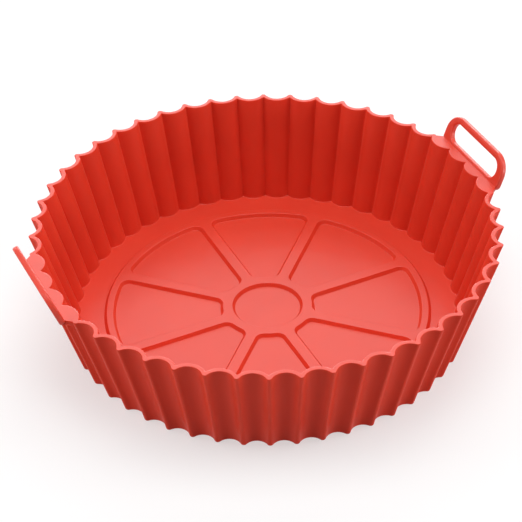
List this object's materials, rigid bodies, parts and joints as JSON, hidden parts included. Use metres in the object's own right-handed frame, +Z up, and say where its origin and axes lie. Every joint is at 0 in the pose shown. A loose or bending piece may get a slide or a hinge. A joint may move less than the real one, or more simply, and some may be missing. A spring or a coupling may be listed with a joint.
{
  "type": "air fryer liner",
  "caption": "Round fluted silicone liner for an air fryer basket, with a ribbed floor, a flared wall and upright grip loops on the rim.",
  "frame": {"origin": "middle of the base's underside, on the surface that the liner stands on", "axes": "+Z up to the rim, +X through both grip loops"},
  "size_m": [0.2122, 0.1996, 0.0602],
  "materials": {
    "silicone": "satin"
  },
  "bodies": {
    "root": {"liner": "silicone"}
  },
  "joints": []
}
